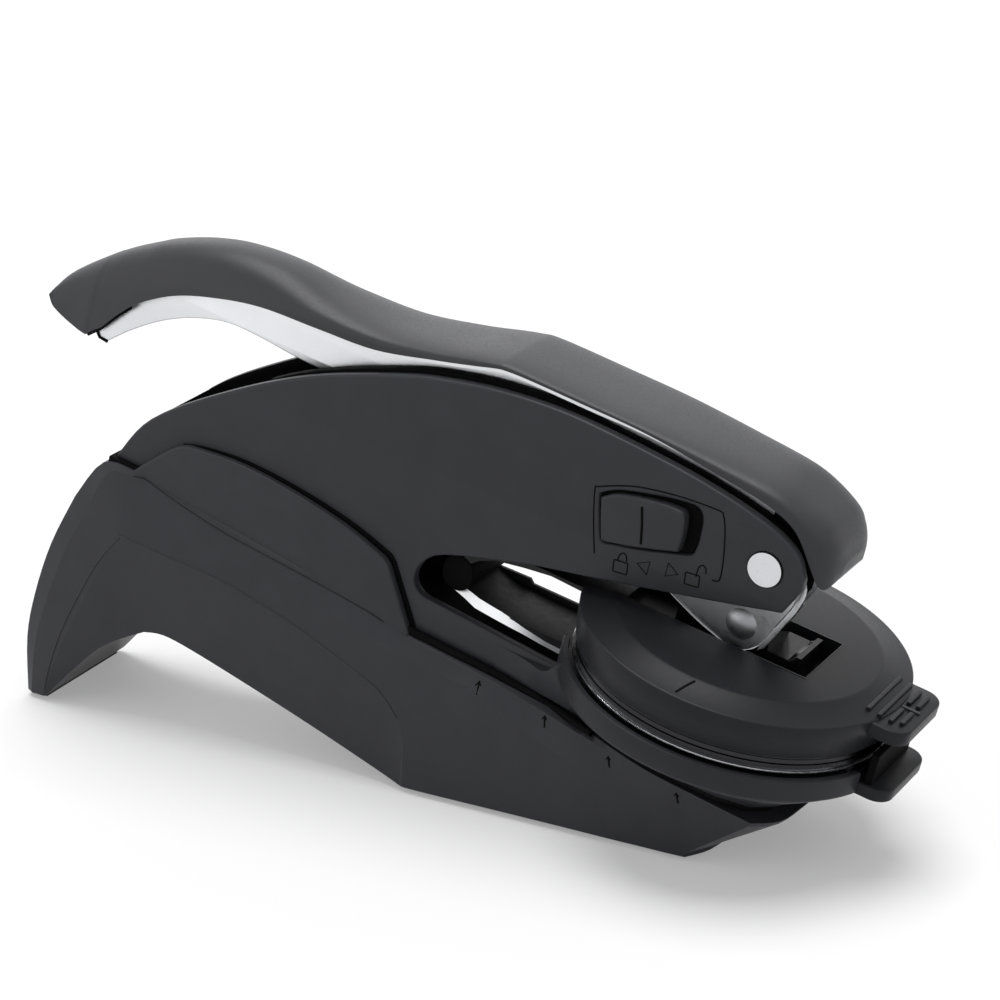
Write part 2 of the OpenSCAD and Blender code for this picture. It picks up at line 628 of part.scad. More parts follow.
// Screws from the stand's cavity up into the shells
module head_screw_axis() for (s = [-1, 1]) head()
    translate([head_screw_u, s * head_screw_y, 0]) children();
module base_shell() color(black) {
    difference() {
        union() {
            loft([for (s = stand_line) stand_ring(s)]);
            intersection() {
                head() slab(-cradle_half, cradle_half) polygon([
                    [-118, rim_w - 4], [-118, -shell_drop], [-29, -shell_drop], [-29, rim_w - 4]
                ]);
                translate([-200, -50, 0]) cube([400, 100, 200]);
            }
        }
        head() difference() {
            translate([-123.4, -shell_half - slide_gap, -shell_drop])
                cube([160, 2 * (shell_half + slide_gap), 60]);
            translate([-28, -50, -shell_drop - 1]) cube([90, 100, 2]);
        }
        translate([plate_x[0], -plate_half, 0])
            cube([plate_x[1] - plate_x[0], 2 * plate_half, pad_h + plate_h]);
        translate([cavity_x[0], -cavity_half, 0])
            cube([cavity_x[1] - cavity_x[0], 2 * cavity_half, cavity_top]);
        for (p = plate_screws) translate([p[0], p[1], 0]) cylinder(r = screw_r, h = 9);
        head_screw_axis() {
            translate([0, 0, -50]) cylinder(r = screw_r, h = 50);
            translate([0, 0, -50]) cylinder(r = screw_head_r, h = 50 + head_screw_seat);
        }
    }
    // Cheeks beside the shells
    for (s = [0, 1]) mirror([0, s, 0]) head() slab(shell_half + slide_gap, cheek_half) polygon(concat(
        cheek_top, [[-57, -25], [-119, -19.5]]));
}
module base_plate() color(dark_steel) difference() {
    translate([plate_x[0], -plate_half, pad_h]) cube([plate_x[1] - plate_x[0], 2 * plate_half, plate_h]);
    for (p = plate_screws) translate([p[0], p[1], 0]) cylinder(r = screw_r, h = 9);
    for (p = plate_screws) translate([p[0], p[1], pad_h - 1]) cylinder(r = screw_head_r, h = 1 + 0.8);
}
module front_pad() color(rubber)
    translate([-pad_l / 2, -pad_half, 0]) cube([pad_l, 2 * pad_half, pad_h]);
module rear_pad() color(rubber)
    translate([foot(0.7), -rear_pad_half, 0]) cube([rear_pad_l, 2 * rear_pad_half, pad_h]);
module base_screws() color(steel) for (p = plate_screws) {
    translate([p[0], p[1], pad_h]) cylinder(r = screw_head_r - 0.1, h = 0.8);
    translate([p[0], p[1], pad_h + 0.5]) cylinder(r = screw_r, h = 6.5);
}
module head_screws() color(steel) head_screw_axis() {
    translate([0, 0, head_screw_seat - 1.6]) cylinder(r = screw_head_r - 0.1, h = 1.6);
    translate([0, 0, head_screw_seat - 0.5])
        cylinder(r = screw_r, h = head_screw_reach - shell_drop - head_screw_seat + 0.5);
}

base_shell();
base_plate();
front_pad();
rear_pad();
base_screws();
head_screws();
right_shell();
left_shell();
frame_right();
frame_left();
frame_spacers();
shell_screws();
pivot_pin();
return_spring();
anvil();
lock_detent();
lever_channel();
lever_cover();
cover_rivets();
press_pin();
ram();
lower_tray();
lower_slide();
lower_die();
lower_strap();
hinge_pin();
upper_holder();
upper_die();
upper_strap();
lock_button();
lock_bar();
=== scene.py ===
import bpy, bmesh, math
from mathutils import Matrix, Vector


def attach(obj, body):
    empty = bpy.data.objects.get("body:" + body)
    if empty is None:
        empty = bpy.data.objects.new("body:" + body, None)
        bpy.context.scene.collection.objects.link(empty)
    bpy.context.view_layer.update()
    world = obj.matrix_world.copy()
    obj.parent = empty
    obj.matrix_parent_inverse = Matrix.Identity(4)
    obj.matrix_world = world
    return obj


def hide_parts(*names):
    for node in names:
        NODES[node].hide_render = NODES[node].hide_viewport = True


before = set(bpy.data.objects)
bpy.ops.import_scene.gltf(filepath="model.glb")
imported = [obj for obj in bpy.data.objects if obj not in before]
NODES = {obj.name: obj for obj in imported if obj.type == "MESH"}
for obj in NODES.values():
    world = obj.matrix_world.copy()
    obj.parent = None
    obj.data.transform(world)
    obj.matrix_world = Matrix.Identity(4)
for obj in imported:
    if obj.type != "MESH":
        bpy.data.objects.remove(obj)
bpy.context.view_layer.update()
MM = 0.001                            # points below are in millimetres

# ---- The head's own frame, with its tilt and origin as in the part's source -----
TILT = math.radians(14.1)
HEAD = Vector((31.0, 0.0, 37.1))


def at(u, y, w):
    """The place of a point of the tilted head: u along it, y across, w up."""
    return Vector((HEAD.x + u * math.cos(TILT) + w * math.sin(TILT), y,
                   HEAD.z - u * math.sin(TILT) + w * math.cos(TILT)))


# ---- Materials -----------------------------------------------------------
NOISE_LOW, NOISE_HIGH = 0.3, 0.7      # the part of the noise that is used
PATCH = 0.06                          # scale of the soft patches against the grain
BUMP_DEPTH = 0.00005


def shader(name, color, rough, metal=0.0, grain=400.0, bump=0.05, spread=0.06, stretch=(1, 1, 1),
           tint=0.06, spec=0.5):
    """Soft patches of tone, with fine grain in roughness and bump."""
    m = bpy.data.materials.new(name)
    m.use_nodes = True
    nodes, connect = m.node_tree.nodes, m.node_tree.links.new
    shade = nodes["Principled BSDF"]
    shade.inputs["Metallic"].default_value = metal
    shade.inputs["Specular IOR Level"].default_value = spec
    coords = nodes.new("ShaderNodeTexCoord")
    mapping = nodes.new("ShaderNodeMapping")
    mapping.inputs["Scale"].default_value = stretch
    connect(coords.outputs["Object"], mapping.inputs["Vector"])

    def noise(scale, detail):
        """The output of a noise texture."""
        node = nodes.new("ShaderNodeTexNoise")
        node.inputs["Scale"].default_value = scale
        node.inputs["Detail"].default_value = detail
        connect(mapping.outputs["Vector"], node.inputs["Vector"])
        return node.outputs["Fac"]

    fine, soft = noise(grain, 6), noise(grain * PATCH, 3)
    tone = nodes.new("ShaderNodeValToRGB")
    for stop, at_noise, k in zip(tone.color_ramp.elements, (NOISE_LOW, NOISE_HIGH), (1 - tint, 1 + tint)):
        stop.position = at_noise
        stop.color = (*(min(1.0, v * k) for v in color), 1)
    connect(soft, tone.inputs["Fac"])
    connect(tone.outputs["Color"], shade.inputs["Base Color"])
    gloss = nodes.new("ShaderNodeMapRange")
    gloss.inputs["From Min"].default_value = NOISE_LOW
    gloss.inputs["From Max"].default_value = NOISE_HIGH
    gloss.inputs["To Min"].default_value = max(0.02, rough - spread)
    gloss.inputs["To Max"].default_value = rough + spread
    connect(fine, gloss.inputs["Value"])
    connect(gloss.outputs["Result"], shade.inputs["Roughness"])
    relief = nodes.new("ShaderNodeBump")
    relief.inputs["Strength"].default_value = bump
    relief.inputs["Distance"].default_value = BUMP_DEPTH
    connect(fine, relief.inputs["Height"])
    connect(relief.outputs["Normal"], shade.inputs["Normal"])
    return m


BODY = shader("body_black", (0.0330, 0.0338, 0.0388), 0.38, grain=2600, bump=0.12, tint=0.05, spec=0.16)
STAND = shader("stand_black", (0.0365, 0.0373, 0.0426), 0.42, grain=2600, bump=0.14, tint=0.05, spec=0.15)
BOWL = shader("bowl_black", (0.0215, 0.0221, 0.0258), 0.38, grain=2600, bump=0.12, tint=0.05, spec=0.14)
DISC = shader("disc_black", (0.0155, 0.0160, 0.0187), 0.36, grain=2600, bump=0.12, tint=0.05, spec=0.12)
COVER = shader("cover_grey", (0.0290, 0.0298, 0.0338), 0.42, grain=2400, bump=0.12, tint=0.05, spec=0.28)
# A brighter steel for the lower strap's sloping edge: painted highlight
STRAP_HIGHLIGHT = shader("edge_steel", (0.90, 0.91, 0.93), 0.45, 1.0, grain=1500, bump=0.06, tint=0.04)
CUT = shader("cut_steel", (0.55, 0.56, 0.58), 0.4, 1.0, grain=700, bump=0.9, tint=0.35)
LEVER = shader("lever_steel", (0.68, 0.69, 0.71), 0.36, 1.0, grain=1500, bump=0.06, tint=0.03, spread=0.05)
STRAP = shader("strap_steel", (0.42, 0.425, 0.44), 0.24, 1.0, grain=900, bump=0.04, stretch=(1, 5, 1), tint=0.06)
FRAME = shader("frame_steel", (0.010, 0.0102, 0.011), 0.55, 1.0, grain=1400, bump=0.06, tint=0.08)
FIXING = shader("fixing_steel", (0.42, 0.425, 0.44), 0.25, 1.0, grain=1200, bump=0.05, tint=0.06)
PIVOT = shader("pivot_steel", (0.60, 0.61, 0.63), 0.22, 1.0, grain=1500, bump=0.05, tint=0.04)
PIN = shader("pin_steel", (0.30, 0.305, 0.32), 0.42, 1.0, grain=1000, bump=0.05, tint=0.1)
RAM = shader("ram_steel", (0.0055, 0.0055, 0.0062), 0.2, grain=800, bump=0.15, tint=0.12, spec=0.15)
TRAY = shader("tray_steel", (0.62, 0.63, 0.65), 0.16, 1.0, grain=900, bump=0.03, tint=0.04)
DIE = shader("die_metal", (0.035, 0.035, 0.038), 0.30, 1.0, grain=700, bump=0.06, tint=0.08)
MARK = shader("mark_black", (0.0025, 0.0025, 0.0027), 0.7, grain=1500, bump=0.1, tint=0.2, spec=0.05)
# Near black for the lower strap's faces in place of its steel: painted shade on the strap
STRAP_SHADE = shader("strap_face", (0.010, 0.0102, 0.0112), 0.5, grain=900, bump=0.3, tint=0.3, spec=0.15)
DARK = shader("dark_steel", (0.007, 0.007, 0.0078), 0.4, 0.6, grain=900, bump=0.05, tint=0.15)
# Darker black without gloss for the back of the head: painted shade under the lever
HUMP_SHADE = shader("hump_black", (0.0045, 0.0045, 0.005), 0.6, grain=1500, bump=0.05, tint=0.1, spec=0.0)
GLOSS = shader("gloss_black", (0.006, 0.006, 0.0066), 0.16, grain=900, bump=0.03, tint=0.1, spec=0.5)
RUBBER = shader("rubber_black", (0.012, 0.012, 0.013), 0.7, grain=1800, bump=0.3, tint=0.1)

# ---- CAD nodes, each with its material ------------------------------------
DRESS = {
    "base_shell": STAND, "base_plate": FRAME, "front_pad": RUBBER, "rear_pad": RUBBER, "base_screws": FIXING,
    "head_screws": FIXING, "right_shell": BODY, "left_shell": BODY, "frame_right": FRAME, "frame_left": FRAME,
    "frame_spacers": FIXING, "shell_screws": FIXING, "pivot_pin": PIVOT, "return_spring": FIXING, "anvil": FRAME,
    "lock_detent": DARK, "lever_channel": LEVER, "lever_cover": COVER, "cover_rivets": FIXING, "press_pin": PIN,
    "ram": RAM, "lower_tray": TRAY, "lower_slide": BODY, "lower_die": DIE, "lower_strap": STRAP, "hinge_pin": FIXING,
    "upper_holder": BODY, "upper_die": DIE, "upper_strap": STRAP, "lock_button": BODY, "lock_bar": DARK,
}
for name, mat in DRESS.items():
    o = NODES[name]
    o.data.materials.clear()
    o.data.materials.append(mat)

# ---- Mesh helpers ------------------------------------------------------------
SHARP = 32.0                          # edges above this angle in degrees stay sharp
SOFT = 40                             # the same for the round black and grey forms
SIDES = ((-1, "right"), (1, "left"))


def shade_smooth(me, angle=SHARP, recalc=False):
    """Smooth shading up to an angle."""
    bm = bmesh.new()
    bm.from_mesh(me)
    if recalc:
        bmesh.ops.recalc_face_normals(bm, faces=bm.faces)
    for f in bm.faces:
        f.smooth = True
    for e in bm.edges:
        e.smooth = e.calc_face_angle(0.0) < math.radians(angle)
    bm.to_mesh(me)
    bm.free()


def evaluated(o):
    """The mesh of o as it is with its modifiers or its curve bevel."""
    bpy.context.view_layer.update()
    return bpy.data.meshes.new_from_object(o.evaluated_get(bpy.context.evaluated_depsgraph_get()))


def link(name, me, mat, body, angle=SHARP):
    """A finished piece: smooth shading up to an angle, one material, and its body."""
    shade_smooth(me, angle, True)
    o = bpy.data.objects.new(name, me)
    bpy.context.scene.collection.objects.link(o)
    me.materials.clear()
    me.materials.append(mat)
    if body:
        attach(o, body)
    return o


def solid(name, verts, faces, mat, body, angle=SHARP):
    """A piece from points in millimetres."""
    me = bpy.data.meshes.new(name)
    me.from_pydata([tuple(Vector(v) * MM) for v in verts], [], faces)
    me.validate()
    return link(name, me, mat, body, angle)


def bevel(o, width, limit=30.0):
    """Rounds the edges of o that are sharper than limit degrees."""
    b = o.modifiers.new("bevel", "BEVEL")
    b.width = width * MM
    b.segments = 3
    b.limit_method = "ANGLE"
    b.angle_limit = math.radians(limit)
    b.harden_normals = True
    return o


def grid_faces(rows, n):
    """Quads between closed rings of n points."""
    return [(i * n + j, (i + 1) * n + j, (i + 1) * n + (j + 1) % n, i * n + (j + 1) % n)
            for i in range(rows - 1) for j in range(n)]


def tube_faces(rows, n):
    """Quads between closed rings of n points, and a face at either end."""
    last = (rows - 1) * n
    return grid_faces(rows, n) + [tuple(range(n)), tuple(range(last + n - 1, last - 1, -1))]


def smooth(p, n, closed=False):
    """Catmull-Rom line with n steps between points of any length."""
    out, k = [], len(p)
    for i in range(k if closed else k - 1):
        if closed:
            a, b, c, d = p[i - 1], p[i], p[(i + 1) % k], p[(i + 2) % k]
        else:
            a, b, c, d = p[max(i - 1, 0)], p[i], p[i + 1], p[min(i + 2, k - 1)]
        for s in range(n):
            t = s / n
            out.append(tuple(
                0.5 * (2 * y + (z - x) * t + (2 * x - 5 * y + 4 * z - q) * t * t + (3 * y - x - 3 * z + q) * t ** 3)
                for x, y, z, q in zip(a, b, c, d)))
    if not closed:
        out.append(tuple(p[-1]))
    return out


def curve_mesh(cu, lines, closed):
    """The mesh of the curve cu with one poly line through each list of points."""
    for line in lines:
        sp = cu.splines.new("POLY")
        sp.points.add(len(line) - 1)
        for q, p in zip(sp.points, line):
            q.co = (*p, 1)
        sp.use_cyclic_u = closed
    tmp = bpy.data.objects.new(cu.name + "_tmp", cu)
    bpy.context.scene.collection.objects.link(tmp)
    me = evaluated(tmp)
    bpy.data.objects.remove(tmp)
    return me


def plate(name, outlines, y0, y1, mat, body, edge=0.3, place=at):
    """A flat plate between y0 and y1 from outlines in (u, w); the later ones are holes."""
    cu = bpy.data.curves.new(name, "CURVE")
    cu.dimensions = "2D"
    cu.fill_mode = "BOTH"
    cu.extrude = (y1 - y0) / 2 - edge
    cu.bevel_depth = edge
    cu.bevel_resolution = 2
    cu.offset = -edge
    me = curve_mesh(cu, [[(p[0], p[1], 0) for p in line] for line in outlines], True)
    mid = (y0 + y1) / 2
    for v in me.vertices:
        v.co = place(v.co.x, mid + v.co.z, v.co.y) * MM
    bm = bmesh.new()
    bm.from_mesh(me)
    bmesh.ops.remove_doubles(bm, verts=bm.verts, dist=1e-7)
    bm.to_mesh(me)
    bm.free()
    return link(name, me, mat, body)


def both_sides(name, outlines, y0, y1, mat, body, edge):
    """Two plates, from y0 to y1 and mirrored. Returns the right one."""
    right = plate(name + "_right", outlines, -y1, -y0, mat, body, edge)
    plate(name + "_left", outlines, y0, y1, mat, body, edge)
    return right


def ring(cx, cy, r, n=48):
    """A circle of n points."""
    return [(cx + r * math.cos(2 * math.pi * i / n), cy + r * math.sin(2 * math.pi * i / n)) for i in range(n)]


def round_box(cx, cy, l, h, r, slope=0.0, n=8):
    """A box outline with round corners, turned by slope degrees."""
    out = []
    c, s = math.cos(math.radians(slope)), math.sin(math.radians(slope))
    for sx, sy, a in ((1, 1, 0), (-1, 1, 90), (-1, -1, 180), (1, -1, 270)):
        for i in range(n + 1):
            t = math.radians(a + 90 * i / n)
            x, y = sx * (l / 2 - r) + r * math.cos(t), sy * (h / 2 - r) + r * math.sin(t)
            out.append((cx + x * c - y * s, cy + x * s + y * c))
    return out


def around(radius, w, n):
    """n points round the press axis at height w, with radius as a number or a function of the angle."""
    out = []
    for i in range(n):
        a = 2 * math.pi * i / n
        r = radius(a) if callable(radius) else radius
        out.append(at(r * math.cos(a), r * math.sin(a), w))
    return out


def spin(name, profile, mat, body, n=256, angle=SHARP, close=False):
    """A turned piece round the press axis from (r, w) points."""
    verts = [p for r, w in profile for p in around(r, w, n)]
    k = len(profile)
    faces = grid_faces(k, n)
    if close:
        faces += [((k - 1) * n + i, i, (i + 1) % n, (k - 1) * n + (i + 1) % n) for i in range(n)]
    return solid(name, verts, faces, mat, body, angle)


def block(name, u, y, w, mat, body, edge=0.2):
    """A box in the head's frame with bevelled edges."""
    pts = [at(a, b, c) for a in u for b in y for c in w]
    faces = [(0, 1, 3, 2), (4, 6, 7, 5), (0, 4, 5, 1), (2, 3, 7, 6), (0, 2, 6, 4), (1, 5, 7, 3)]
    o = solid(name, pts, faces, mat, body)
    return bevel(o, edge) if edge else o


def cut(o, u, y, w):
    """Takes a box of the head's frame away from o."""
    tool = block("tool", u, y, w, BODY, None, 0)
    m = o.modifiers.new("cut", "BOOLEAN")
    m.operation = "DIFFERENCE"
    m.solver = "EXACT"
    m.object = tool
    me = evaluated(o)
    o.modifiers.clear()
    o.data = me
    bpy.data.objects.remove(tool)
    shade_smooth(me)


def wire(name, points, r, mat, body, closed=False):
    """A thin raised line through points in millimetres."""
    cu = bpy.data.curves.new(name, "CURVE")
    cu.dimensions = "3D"
    cu.bevel_depth = r * MM
    cu.bevel_resolution = 3
    cu.use_fill_caps = True
    me = curve_mesh(cu, [[Vector(p) * MM for p in points]], closed)
    return link(name, me, mat, body, 60)


# ---- Stand ---------------------------------------------------------------------
# Stations from the foot over the arch to the front, five (x, z, half width) points each
STAND_LINE = [
    [(-115.6, .8, 12.4), (-114.2, .8, 13.3), (-112.5, .8, 13.6), (-111.1, .8, 13.8), (-110.8, .8, 13.6)],
    [(-115.2, 12, 12.4), (-112.6, 11.7, 13.4), (-110, 11, 13.8), (-107.2, 10.1, 14.1), (-104.3, 7.4, 13.3)],
    [(-112.8, 21.6, 12.4), (-109.5, 20.8, 13.5), (-106, 19.6, 13.9), (-102.8, 18.3, 14.3), (-98.2, 13, 13.3)],
    [(-108.4, 32.7, 12.4), (-104.6, 31.9, 13.6), (-100.4, 30.8, 14.1), (-96.5, 29.4, 14.6), (-92.7, 16.3, 13.2)],
    [(-102.3, 43.4, 12.4), (-98.8, 41.7, 13.6), (-95.2, 39.8, 14.3), (-92.2, 36.6, 14.9), (-87.4, 18.7, 13.1)],
    [(-95.3, 51.4, 12.6), (-93.5, 50.0, 13.7), (-91.6, 44, 14.5), (-88, 37.8, 15.1), (-83, 18.9, 13.1)],
    [(-87.3, 50.9, 13.4), (-86.8, 49.7, 13.9), (-84, 43, 14.7), (-80, 36.4, 15.2), (-76.4, 17, 13.1)],
    [(-73, 46.4, 12.6), (-72.6, 45.2, 13.9), (-70, 39, 14.8), (-67, 32.8, 15.3), (-63.3, 12.2, 13.2)],
    [(-56.5, 40.9, 12.4), (-56.2, 39.7, 13.9), (-55, 34.4, 14.9), (-53.5, 28, 15.4), (-51, 7.7, 13.6)],
    [(-41.8, 35.8, 12.0), (-41.7, 35.0, 13.3), (-41, 30.4, 15.0), (-40.6, 22.3, 15.6), (-40, 3.6, 14.2)],
    [(-30.3, 30.3, 11.9), (-30.3, 29.6, 13.2), (-31, 27.6, 15.3), (-32, 17.6, 16.0), (-33.5, 1.6, 15.2)],
    [(-26.5, 29.1, 11.9), (-26.5, 28.4, 13.3), (-26.9, 26.3, 15.5), (-29.3, 10.2, 16.4), (-30.4, .8, 16.0)],
    [(-22, 27.8, 11.9), (-22, 27.1, 13.4), (-21.5, 24.6, 15.8), (-27.6, 1.6, 16.6), (-27.6, .8, 16.5)],
    [(-13.3, 25.4, 11.9), (-13.3, 24.7, 13.6), (-14, 22.6, 16.1), (-12, 1.6, 16.9), (-12, .8, 16.8)],
    [(.25, 21.3, 12.6), (.2, 20.6, 14.8), (-2, 16.6, 16.7), (3, 1.6, 17.2), (3, .8, 17.1)],
    [(11.9, 18.5, 16.4), (11.9, 17.6, 16.9), (9, 11.6, 17.2), (13, 1.5, 17.5), (13, .8, 17.4)],
    [(20.6, 16.2, 18.3), (20.6, 15.3, 18.2), (15.5, 7.8, 17.5), (20, 1.3, 17.6), (20, .8, 17.5)],
    [(30.3, 13.8, 18.9), (30, 12.9, 18.7), (21.5, 2.9, 17.6), (23.5, 1.2, 17.65), (23.5, .8, 17.6)],
    [(41, 11.1, 19.2), (40.4, 10.3, 19.0), (27.9, 1.6, 17.7), (27.9, 1.1, 17.7), (27.9, .8, 17.6)],
    [(44.6, 10.2, 14.0), (43.9, 9.4, 13.8), (30.6, 1.6, 13.0), (30.6, 1.1, 13.0), (30.6, .8, 12.9)],
    [(45.6, 10.0, 5.0), (44.9, 9.2, 5.0), (31.7, 1.6, 5.0), (31.7, 1.1, 5.0), (31.7, .8, 5.0)],
]
STAND_CREASE = 9.0                    # the stand's facets meet at low angles
flat = [tuple(c for p in station for c in p) for station in STAND_LINE]
BREAKS = (0, 4, 11, 18)               # stations where the line bends sharply
stations = []
for first, last in zip(BREAKS, BREAKS[1:]):
    stations += smooth(flat[first:last + 1], 4)[:-1]
stations += smooth(flat[BREAKS[-1]:], 4)
verts = []
for station in stations:
    pts = [station[i:i + 3] for i in range(0, 15, 3)]
    verts += [(x, -y, z) for x, z, y in pts] + [(x, y, z) for x, z, y in reversed(pts)]
stand = solid("stand_skin", verts, tube_faces(len(stations), 10), STAND, "root", STAND_CREASE)
bevel(stand, 1.1, STAND_CREASE)

# The raised side panels, with a black strip above each: painted shadow in the gap along each panel's upper edge
CHEEK = [(-119.2, -15.6), (-115.5, -11.4), (-110.6, -6.6), (-105.7, -5.4), (-97, -4.6), (-86, -5.2),
         (-74.8, -6.9), (-66.7, -9.2), (-64.4, -10.4), (-62.6, -13.0), (-57.2, -21.6)]
SHADE_STRIP_WIDTH = (0.15, 0.35, 0.55, 0.65, 0.75, 0.85, 0.95, 1.0, 1.0)
upper_line = [(u + 0.45 * k, w + 0.9 * k) for (u, w), k in zip(CHEEK[2:], SHADE_STRIP_WIDTH)]
shade_strip = smooth(upper_line, 4) + list(reversed(smooth(CHEEK[2:], 4)))
both_sides("cheek", [smooth(CHEEK, 4) + [(-57, -23.5), (-119.2, -19)]], 11.7, 13.4, STAND, "root", 0.45)
both_sides("cheek_groove", [shade_strip], 11.4, 11.85, MARK, "root", 0.03)
# A black block in the notch at the back of the stand: painted shade in the notch
block("rear_notch", (-125.0, -118.2), (-12.7, 12.7), (-17.4, -15.0), MARK, "root", 0.2)
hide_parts("base_shell")

# ---- Head shells -----------------------------------------------------------------
SHELL_TOP = [(-124.3, -15.2), (-118.6, -5.0), (-105, 6.3), (-88.8, 16.7), (-71.2, 24.5), (-61.4, 27.6),
             (-51.7, 29.7), (-39.9, 30.9), (-28.6, 30.7), (-16.1, 29.9), (-8.1, 28.9), (-2.5, 27.9), (3.6, 26.3),
             (7.8, 24.1), (9.8, 21.2), (10.4, 18.2), (8.2, 12.7)]
THROAT = [(-36.6, 1.2), (-44.2, -1), (-54.7, -4.8), (-58.2, -7.6), (-59.4, -10.8), (-58.8, -13.2), (-56.6, -14.5),
          (-52, -14.8), (-40, -15.4), (-26, -16.1)]
JAW_LINE = [(8.2, 12.7), (-2, 9.9), (-20, 5.2), (-36.6, 1.2)]
HEAD_FOOT = -21.9                     # w of the head's underside
PIVOT_SPOT = (3.3, 19.2)              # u, w of the lever's axis
pivot_hole = ring(*PIVOT_SPOT, 3.15)
top = smooth(SHELL_TOP, 6)
outline = (top[:-1] + smooth(JAW_LINE, 4)[:-1] + smooth(THROAT, 5)
           + [(-26, HEAD_FOOT), (-115, HEAD_FOOT), (-123.2, -17)])
LOCK_SLOPE = 11.0
lock_hole = smooth([(-28.9, 18.7), (-28.6, 19.8), (-26, 21.4), (-22.4, 22.6), (-17, 24.0), (-13.7, 24.6),
                    (-11.3, 24.7), (-9.9, 23.3), (-9.5, 19.7), (-9.6, 17.2), (-10.2, 15.8), (-13.7, 14.6),
                    (-19.7, 12.6), (-23.9, 11.6), (-26.1, 11.0), (-27, 12.0)], 4, True)
near = plate("shell_right_skin", [outline, pivot_hole, lock_hole], -11.5, -9.2, BODY, "root", 0.5)
far = plate("shell_left_skin", [outline, pivot_hole, ring(-104, -10, 2.6, 32), ring(-70, 11, 2.6, 32)],
            9.2, 11.5, BODY, "root", 0.5)
# The floor of the button's recess in black: painted shade in the recess
plate("lock_floor", [round_box(-19.4, 17.8, 21.4, 14.4, 3.2, LOCK_SLOPE),
                     round_box(-19.7, 18.2, 9.8, 3.6, 0.6, LOCK_SLOPE)], -10.6, -9.2, MARK, "root", 0.05)

# The closed back of the head, one strip per half, in a darker black without gloss than the shells: painted shade
# under the lever
hump = [p for p in top if p[0] < -89.5]
for side, name, reach in ((-1, "hump_right", 9.4), (1, "hump_left", 11.54)):
    verts = []
    for p, q in zip(hump, top[1:]):
        d = Vector((q[0] - p[0], q[1] - p[1])).normalized()
        for y, k in ((0.04, 0.12), (reach, 0.12), (reach, 0.9), (0.04, 0.9)):
            verts.append(at(p[0] + d.y * k, side * y, p[1] - d.x * k))
    solid(name, verts, tube_faces(len(hump), 4), HUMP_SHADE, "root", SOFT)

# Black liners inside the shells, which stand up to 0.7 mm above them round u = -66: painted shade in the gap between
# the cover and the shells
liner = [p for p in top if -98 < p[0] < 6]
liner = ([(u, w - 0.15 + 0.85 * max(0, 1 - abs(u + 66) / 32) ** 0.4) for u, w in liner]
         + [(u, w - 6) for u, w in reversed(liner)])
both_sides("liner", [liner], 7.0, 9.15, MARK, "root", 0.1)

# The round lower jaw, hollow for the clip's channel
BOWL_R = 31.0
BOWL_POINTS = 240


def rim_r(a):
    """Radius of the joint between the bowl and the stand at angle a from the front."""
    hull = [(19, 0), (17, 14), (14, 17.5), (8, 18.8), (-6, 18.5), (-16, 15), (-26, 11.5)]
    dx, dy = math.cos(a), abs(math.sin(a))
    best = 26 / max(1e-6, abs(dx)) if dx < 0 else 20
    for (px, py), (qx, qy) in zip(hull, hull[1:]):
        ex, ey = qx - px, qy - py
        den = dx * ey - dy * ex
        if abs(den) < 1e-9:
            continue
        k = (px * ey - py * ex) / den
        along = ((k * dx - px) * ex + (k * dy - py) * ey) / (ex ** 2 + ey ** 2)
        if k > 0 and -1e-6 <= along <= 1 + 1e-6:
            best = k
    return best


def bowl_ring(share, w, out=0.0):
    """A ring of the bowl: share 0 is its full radius, share 1 the joint with the stand."""
    return around(lambda a: BOWL_R + (min(BOWL_R, rim_r(a)) - BOWL_R) * share + out, w, BOWL_POINTS)


BOWL_LINE = ((0, -10.1), (0, -13.7), (0.02, -14.2), (0.14, -15.2), (0.38, -16.8), (0.64, -18.6), (0.86, -20.4),
             (1.0, HEAD_FOOT))
rings = [around(29.6, -11.5, BOWL_POINTS), around(29.9, -9.9, BOWL_POINTS), bowl_ring(0, -9.9, -0.25)]
rings += [bowl_ring(share, w) for share, w in BOWL_LINE]
n = BOWL_POINTS
verts = [p for r in rings for p in r] + [at(0, 0, -11.5), at(0, 0, HEAD_FOOT)]
top_mid, low_mid = len(verts) - 2, len(verts) - 1
k = (len(rings) - 1) * n
faces = grid_faces(len(rings), n)
faces += [(top_mid, (i + 1) % n, i) for i in range(n)] + [(low_mid, k + i, k + (i + 1) % n) for i in range(n)]
bowl = solid("bowl", verts, faces, BOWL, "root", SOFT)
cut(bowl, (-40, 45), (-9.8, 9.8), (-15.4, -5))
cut(bowl, (-40, -20), (-9.8, 9.8), (-16.2, -15))
# A black band round the foot of the bowl, where it meets the stand: painted shadow under the bowl
shadow_band = [bowl_ring(0.85, -20.3, 0.12), bowl_ring(1.0, -21.95, 0.15), bowl_ring(1.0, -21.95, -1.5),
        bowl_ring(0.85, -20.3, -1.5)]
solid("bowl_foot", [p for r in shadow_band + shadow_band[:1] for p in r], grid_faces(5, n), MARK, "root", SOFT)
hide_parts("right_shell")
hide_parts("left_shell")

